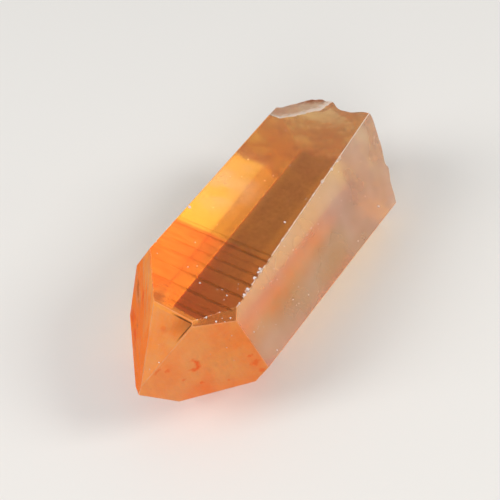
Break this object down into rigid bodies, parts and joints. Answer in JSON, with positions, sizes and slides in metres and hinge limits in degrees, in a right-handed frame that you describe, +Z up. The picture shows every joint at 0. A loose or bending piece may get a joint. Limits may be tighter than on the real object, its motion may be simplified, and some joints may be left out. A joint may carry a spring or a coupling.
{
  "type": "tangerine quartz crystal",
  "caption": "Single natural quartz point coated orange by iron, lying on a prism face, with a faceted tip and a broken base.",
  "frame": {"origin": "bottom centre of the crystal's box, on the surface that it lies on", "axes": "+Y along the crystal's length from the faceted tip at -Y to the broken base at +Y, +Z up through the top prism face, +X to the right seen from the tip's side looking along +Y"},
  "size_m": [0.0184, 0.0426, 0.0131],
  "materials": {
    "quartz": "clear to hazy orange quartz: glossy prism faces, satin termination faces coated by iron, whitish chips and broken base"
  },
  "bodies": {
    "root": {"quartz_crystal": "quartz"}
  },
  "joints": []
}
